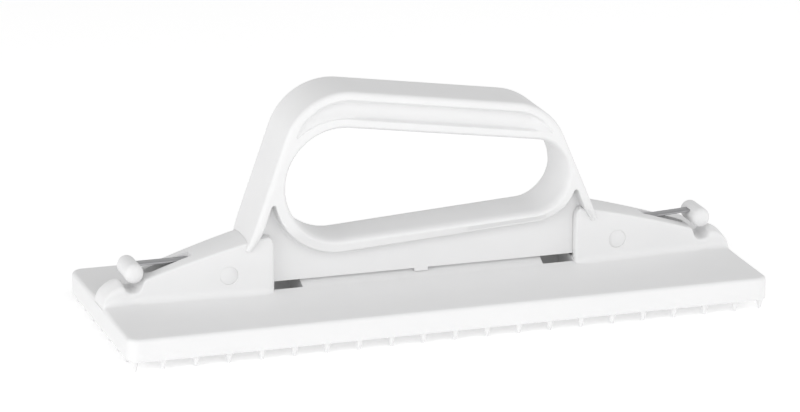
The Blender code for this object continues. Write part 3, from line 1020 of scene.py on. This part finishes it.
def gripLines():
    # Outer line, lower inner line and the rim of the upper recess
    corners = [grip[k] for k in ("leftFoot", "leftShoulder", "rightShoulder", "rightFoot")]
    radii = (grip["leftShoulderRadius"], grip["rightShoulderRadius"])
    outer = resampled(filletedPath(corners, radii, grip["shoulderSteps"]), grip["lineStep"])
    normals = sideNormals(outer, False)
    inner = [p + n * gripThickness(p.y) for p, n in zip(outer, normals)]
    ring = beltLine("ring")
    rightMost = max(range(len(ring)), key=lambda i: ring[i].x)
    leftMost = min(range(len(ring)), key=lambda i: ring[i].x)
    lowRing = resampled(ring[leftMost : rightMost + 1], grip["ringStep"])
    highRing = resampled(ring[rightMost:] + ring[1 : leftMost + 1], grip["ringStep"])
    top = max(range(len(inner)), key=lambda i: inner[i].y)
    ringTop = max(range(len(highRing)), key=lambda i: highRing[i].y)
    wedge = (grip["wedgeRadius"], grip["wedgeSteps"])
    tight = (grip["tipRadius"], grip["tipSteps"])
    rise, turn, rest = roundedMeeting(inner[: top + 1], lowRing, *wedge)
    low, farTurn, fall = roundedMeeting(rest, inner[top:], *wedge)
    lower = rise + turn + low + farTurn + fall
    over, tip, back = roundedMeeting(inner[top:], highRing[: ringTop + 1], *tight)
    ahead, farTip, rest = roundedMeeting(highRing[ringTop:], inner[: top + 1], *tight)
    recessRim = over + tip + back + ahead[1:] + farTip + rest[:-1]
    return outer, lower, recessRim, inner, ring


def distanceTo(path, point):
    nearest = 1.0
    for a, b in zip(path, path[1:]):
        along = b - a
        share = unit((point - a).dot(along) / along.length_squared)
        nearest = min(nearest, (a + along * share - point).length)
    return nearest


def recessAtRing(x):
    depth = grip["recessAtRing"]
    share = unit((x - depth["from"]) / (depth["to"] - depth["from"]))
    return between(depth["left"], depth["right"], share)


def recessHalf(point, inner, ring):
    # Half width of the handle on the floor of its upper recess, which runs out at both tips
    fromRing = distanceTo(ring, point)
    gap = fromRing + distanceTo(inner, point)
    shallow = min(recessAtRing(point.x), gap * grip["shallowShare"])
    deep = min(grip["recessUnderFlange"], gap * grip["deepShare"])
    share = fromRing / gap
    return grip["halfWidth"] - shallow - (deep - shallow) * share * (2.0 - share)


def edgeRows(point, across, depth):
    # (inset, half width) from a through edge on to the flat of the land
    half = gripHalf(point.y)
    rows = []
    for angle in quarter(grip["edgeSteps"]):
        rows.append((across * (1.0 - math.cos(angle)), half - depth + depth * math.sin(angle)))
    rows.append((across + grip["guard"], half))
    return rows


def wallRows(point, floorHalf, fillet):
    # (offset, half width) from the land, over its edge and down a fillet on to a floor
    half = gripHalf(point.y)
    depth = half - floorHalf
    most = depth * grip["wallShare"]
    radius = min(edgeRadius(point.y, "innerEdge"), most)
    fillet = min(fillet, most)
    guard = grip["guard"]
    draft = min(grip["draft"], depth * grip["draftShare"])
    rest = min(2 * guard, depth * grip["restShare"])
    above, below = grip["draftEnds"]
    turns = quarter(grip["wallSteps"])
    rows = [(-radius - guard, half)]
    for angle in turns:
        rows.append((radius * (math.sin(angle) - 1.0), half - radius + radius * math.cos(angle)))
    rows.append((draft * above, half - radius - rest))
    rows.append((draft * below, floorHalf + fillet + rest))
    for angle in turns:
        away = draft + fillet * (1.0 - math.cos(angle))
        rows.append((away, floorHalf + fillet - fillet * math.sin(angle)))
    rows.append((draft + fillet + guard, floorHalf))
    return rows


def rowStrip(work, path, profile, closed):
    # Rows of quads beside a path, with the vertices of the first and last row
    normals = sideNormals(path, closed)
    columns = []
    for point, normal in zip(path, normals):
        column = []
        for offset, half in profile(point):
            at = point + normal * offset
            column.append(work.verts.new((at.x, half, at.y + underside)))
        columns.append(column)
    bridged(work, columns + columns[:1] if closed else columns)
    return [column[0] for column in columns], [column[-1] for column in columns]


def fillFlat(work, loops, free=()):
    # Triangles between an outer loop of vertices, the loops of its holes and free vertices
    vertices = [vertex for loop in loops for vertex in loop] + list(free)
    scale = limits["fillScale"]
    corners = [Vector((vertex.co.x, vertex.co.z)) * scale for vertex in vertices]
    rim = set()
    first = 0
    for k, loop in enumerate(loops):
        order = list(range(first, first + len(loop)))
        first += len(loop)
        pairs = list(zip(order, order[1:] + order[:1]))
        area = sum(corners[a].cross(corners[b]) for a, b in pairs)
        if (area > 0) == (k > 0):
            pairs = [(b, a) for a, b in pairs]
        rim |= set(pairs)
    filled = delaunay_2d_cdt(corners, sorted(rim), [], 0, limits["fillGap"])
    faces, origins = filled[2:4]
    faces = [[origins[i][0] for i in face] for face in faces]
    owner = {}
    for index, face in enumerate(faces):
        for a, b in zip(face, face[1:] + face[:1]):
            owner[(a, b)] = index
    # From the triangles on the filled side of the loops to their neighbours
    waiting = [owner[pair] for pair in sorted(rim) if pair in owner]
    kept = set()
    while waiting:
        index = waiting.pop()
        if index in kept:
            continue
        kept.add(index)
        face = faces[index]
        for a, b in zip(face, face[1:] + face[:1]):
            if (a, b) not in rim and (b, a) in owner:
                waiting.append(owner[(b, a)])
    for index in sorted(kept):
        work.faces.new([vertices[i] for i in faces[index]])


def mirroredSheet(work):
    # The sheet's copy on the other side and the walls between the two
    guard = 2 * grip["guard"]
    rim = [edge for edge in work.edges if len(edge.link_faces) == 1]
    sheet = list(work.faces)
    twins = {v: work.verts.new((v.co.x, -v.co.y, v.co.z)) for v in list(work.verts)}
    near = {}
    far = {}
    for edge in rim:
        for v in edge.verts:
            if v not in near:
                near[v] = work.verts.new((v.co.x, v.co.y - guard, v.co.z))
                far[v] = work.verts.new((v.co.x, guard - v.co.y, v.co.z))
    for face in sheet:
        work.faces.new([twins[v] for v in reversed(face.verts)])
    for edge in rim:
        a, b = edge.verts
        levels = ((a, b), (near[a], near[b]), (far[a], far[b]), (twins[a], twins[b]))
        for (p, q), (r, s) in zip(levels, levels[1:]):
            work.faces.new((p, q, s, r))


def recessPoints(work, rim, inner, ring):
    # Vertices inside the floor of the upper recess
    low = Vector((min(p.x for p in rim), min(p.y for p in rim)))
    high = Vector((max(p.x for p in rim), max(p.y for p in rim)))
    clear = grip["fillet"] + grip["draft"] + 4 * grip["guard"]
    across, up = grip["floorSpacing"]
    made = []
    for i in range(int((high.x - low.x) / across)):
        for j in range(int((high.y - low.y) / up)):
            point = low + Vector(((i + 0.5) * across, (j + 0.5) * up))
            fromRim = distanceTo(rim + rim[:1], point)
            if fromRim > clear and insideRim(point, rim):
                half = recessHalf(point, inner, ring)
                made.append(work.verts.new((point.x, half, point.y + underside)))
    return made


def insideRim(point, rim):
    inside = False
    for a, b in zip(rim, rim[1:] + rim[:1]):
        if (a.y > point.y) != (b.y > point.y):
            if point.x < a.x + (b.x - a.x) * (point.y - a.y) / (b.y - a.y):
                inside = not inside
    return inside


def makeGrip():
    outer, lower, recessRim, inner, ring = gripLines()
    opening = beltLine("opening")
    opening = resampled(opening + opening[:1], grip["ringStep"])[:-1]
    work = bmesh.new()
    fillet = grip["fillet"]

    def outerProfile(point):
        radius = edgeRadius(point.y, "outerEdge")
        return edgeRows(point, radius, radius)

    def openingProfile(point):
        across, depth = grip["openingEdge"]
        most = distanceTo(outer, point) * grip["openingShare"]
        return edgeRows(point, min(across, most), depth)

    def lowerProfile(point):
        gap = distanceTo(ring, point) + distanceTo(inner, point)
        return wallRows(point, grip["webHalf"], min(fillet, gap * grip["filletShare"]))

    def recessProfile(point):
        return wallRows(point, recessHalf(point, inner, ring), fillet)

    _, outerLand = rowStrip(work, outer, outerProfile, False)
    lowerLand, lowerWeb = rowStrip(work, lower, lowerProfile, False)
    recessLand, recessFloor = rowStrip(work, recessRim, recessProfile, True)
    _, openingLand = rowStrip(work, opening, openingProfile, True)
    fillFlat(work, [outerLand + lowerLand[::-1], recessLand, openingLand])
    fillFlat(work, [recessFloor], recessPoints(work, recessRim, inner, ring))
    bottom = grip["webBottom"]
    lugLeft = grip["lugPlace"] - grip["lugHalf"]
    lugRight = grip["lugPlace"] + grip["lugHalf"]
    ends = [
        (grip["rightTongue"], lowerWeb[-1].co.z - underside),
        (grip["rightTongue"], bottom),
        (lugRight, bottom),
        (lugRight, grip["lugBottom"]),
        (lugLeft, grip["lugBottom"]),
        (lugLeft, bottom),
        (grip["leftTongue"], bottom),
        (grip["leftTongue"], lowerWeb[0].co.z - underside),
    ]
    ends = [work.verts.new((x, grip["webHalf"], z + underside)) for x, z in ends]
    fillFlat(work, [lowerWeb + ends])
    mirroredSheet(work)
    piece = meshObject(work)
    for word, side in signs.items():
        cutBy(piece, towerCutter(word, side))
    return cleaned(piece)


def towerCutter(word, side):
    # A tower grown by the gap, without its slot, that shapes a foot of the handle
    gap = grip["towerGap"]
    path = crestPath()
    places = sorted(distinct(p.x for p in path if p.x < grip["cutEnd"]))
    stations = [(x, towerSection(x, valueAt(path, x) + gap, gap)) for x in places]
    stations[0] = (places[0] - gap, stations[0][1])
    rings = [wholeRing(x, side, section) for x, section in stations]
    cutter = lofted(rings, limits["mergeLofted"])
    return cutBy(cutter, slotBox(word, recess["pocketEnd"] - recess["slotLead"]))


finished(makeGrip(), "handleMoulding", handleFinish, "holder", "handle_plastic", "handle")

# Grip studs under the plate, set out by Geometry Nodes

studs = {
    "pitch": 0.01143,
    "columns": 19,
    "rows": 8,
    "frontRow": 0.0403,
    "endColumn": 0.1124,
    "endRow": 0.0397,
    "rootRadius": 0.00135,
    "neckRadius": 0.00052,
    "tipRadius": 0.00026,
    "length": 0.0038,
    "tipLength": 0.0004,
    "sink": 0.0010,
    "sides": 12,
}


def studTree():
    group = bpy.data.node_groups.new("studField", "GeometryNodeTree")
    entry = group.nodes.new("NodeGroupInput")
    tree = Maker(group)

    def socket(name, kind, way="INPUT"):
        kind = "NodeSocket" + kind
        return group.interface.new_socket(name, in_out=way, socket_type=kind)

    socket("Geometry", "Geometry")
    size = {}
    for name, value in studs.items():
        socket(name, "Int" if isinstance(value, int) else "Float").default_value = value
        size[name] = Flow(tree, entry.outputs[name])
    material = socket("Material", "Material").identifier
    paint = Flow(tree, entry.outputs["Material"])
    columns, endRow, sides = (size[word] for word in ("columns", "endRow", "sides"))
    root, neck, tip = (size[word + "Radius"] for word in ("root", "neck", "tip"))
    length, tipLength, sink = (size[word] for word in ("length", "tipLength", "sink"))

    def cone(upper, lower, depth):
        inputs = {"Vertices": sides, "Radius Top": upper, "Radius Bottom": lower, "Depth": depth}
        return tree.node("GeometryNodeMeshCone", inputs, fill_type="NONE")

    def disc(radius):
        inputs = {"Vertices": sides, "Radius": radius}
        return tree.node("GeometryNodeMeshCircle", inputs, fill_type="NGON")

    def raised(form, height):
        move = tree.node("ShaderNodeCombineXYZ", {"Z": height})
        return tree.node("GeometryNodeTransform", {"Geometry": form, "Translation": move})

    # Even rows along the plate, and a column at each end whose outer studs are drawn in
    field = {
        "Size X": size["pitch"] * (columns - 1.0),
        "Size Y": size["frontRow"] * 2.0,
        "Vertices X": columns,
        "Vertices Y": size["rows"],
    }
    ends = {**field, "Size X": size["endColumn"] * 2.0, "Vertices X": 2}
    field = tree.node("GeometryNodeMeshGrid", field)
    ends = tree.node("GeometryNodeMeshGrid", ends)
    x, y = tree.parts(tree.node("GeometryNodeInputPosition"))[:2]
    within = tree.node("ShaderNodeClamp", {"Value": y, "Min": endRow * -1.0, "Max": endRow})
    drawnIn = tree.node("ShaderNodeCombineXYZ", {"X": x, "Y": within})
    ends = tree.node("GeometryNodeSetPosition", {"Geometry": ends, "Position": drawnIn})
    places = tree.node("GeometryNodeJoinGeometry", {"Geometry": [field, ends]})
    # The body reaches into the plate by the sink, at the slope of its sides
    bodyLength = length - tipLength
    wide = root + (root - neck) / bodyLength * sink
    body = raised(cone(wide, neck, bodyLength + sink), tipLength)
    point = cone(neck, tip, tipLength)
    top = raised(disc(wide), length + sink)
    end = tree.node("GeometryNodeFlipFaces", {"Mesh": disc(tip)})
    stud = tree.node("GeometryNodeJoinGeometry", {"Geometry": [body, point, top, end]})
    inputs = {"Geometry": stud, "Distance": limits["mergeStuds"]}
    stud = tree.node("GeometryNodeMergeByDistance", inputs)
    copies = tree.node("GeometryNodeInstanceOnPoints", {"Points": places, "Instance": stud})
    real = tree.node("GeometryNodeRealizeInstances", {"Geometry": copies})
    painted = tree.node("GeometryNodeSetMaterial", {"Geometry": real, "Material": paint})
    socket("Geometry", "Geometry", "OUTPUT")
    tree.feed(group.nodes.new("NodeGroupOutput").inputs[0], painted)
    return group, material


def makeStuds():
    piece = bpy.data.objects.new("gripStuds", bpy.data.meshes.new("gripStuds"))
    bpy.context.scene.collection.objects.link(piece)
    step = piece.modifiers.new("studs", "NODES")
    step.node_group, material = studTree()
    step[material] = baseFinish
    return applied(piece)


finished(makeStuds(), "gripStuds", baseFinish, "holder", "base_plastic")

# Studio: pale floor, soft lights and the camera at the photograph's place

studio = {
    "floorHalf": 6.0,
    "floorTone": (0.95, 0.95, 0.95, 1.0),
    "floorRoughness": 0.9,
    "floorGlow": 0.28,
    "white": (1.0, 1.0, 1.0, 1.0),
    "wallTop": 0.85,
    "zenith": 0.55,
    "horizon": 0.73,
    "lights": {  # power, size and place
        "leftSoft": (7.6, 1.0, (-1.3, -0.5, 0.40)),
        "rightSoft": (4.7, 1.0, (1.4, -0.5, 0.50)),
        "highSoft": (7.0, 1.2, (0.0, -1.5, 0.95)),
    },
}


def makeFloor():
    work = bmesh.new()
    bmesh.ops.create_grid(work, x_segments=1, y_segments=1, size=studio["floorHalf"])
    floor = meshObject(work)
    floor.name = "studioFloor"
    paint = {
        "Base Color": studio["floorTone"],
        "Roughness": studio["floorRoughness"],
        "Emission Color": studio["white"],
        "Emission Strength": studio["floorGlow"],
    }
    floor.data.materials.append(Finish("floorPaint", paint).material)


def makeSky():
    # A dim ceiling over bright walls
    world = bpy.data.worlds.new("studioSky")
    bpy.context.scene.world = world
    world.use_nodes = True
    sky = Maker(world.node_tree)
    height = sky.parts(sky.node("ShaderNodeTexCoord"))[2]
    inputs = {
        "Value": height,
        "From Max": studio["wallTop"],
        "To Min": studio["horizon"],
        "To Max": studio["zenith"],
    }
    fade = sky.node("ShaderNodeMapRange", inputs, interpolation_type="SMOOTHSTEP")
    background = world.node_tree.nodes["Background"]
    sky.feed(background.inputs["Color"], studio["white"])
    sky.feed(background.inputs["Strength"], fade)


def makeLights():
    for name, (power, size, place) in studio["lights"].items():
        data = bpy.data.lights.new(name, "AREA")
        data.energy = power
        data.size = size
        light = bpy.data.objects.new(name, data)
        light.location = place
        light.rotation_euler = (-Vector(place)).to_track_quat("-Z", "Y").to_euler()
        bpy.context.scene.collection.objects.link(light)


view = {
    "right": (0.9509273767, -0.3094104230, 0.0015225336),
    "up": (0.0867153481, 0.2712238729, 0.9586021304),
    "back": (-0.2970144451, -0.9114289880, 0.2847448588),
    "place": (-0.4228378534, -1.2778289318, 0.4365896881),
    "lens": 181.718,
    "sensor": 36.0,
    "shift": (-0.0012641, -0.0017671),
}


def makeCamera():
    data = bpy.data.cameras.new("viewCamera")
    data.lens = view["lens"]
    data.sensor_width = view["sensor"]
    data.sensor_fit = "HORIZONTAL"
    data.shift_x, data.shift_y = view["shift"]
    camera = bpy.data.objects.new("viewCamera", data)
    turn = Matrix((view["right"], view["up"], view["back"])).transposed()
    camera.matrix_world = Matrix.LocRotScale(Vector(view["place"]), turn.to_quaternion(), None)
    bpy.context.scene.collection.objects.link(camera)
    bpy.context.scene.camera = camera


makeFloor()
makeSky()
makeLights()
makeCamera()
bpy.context.scene.view_settings.view_transform = "Standard"
print("studio ready")
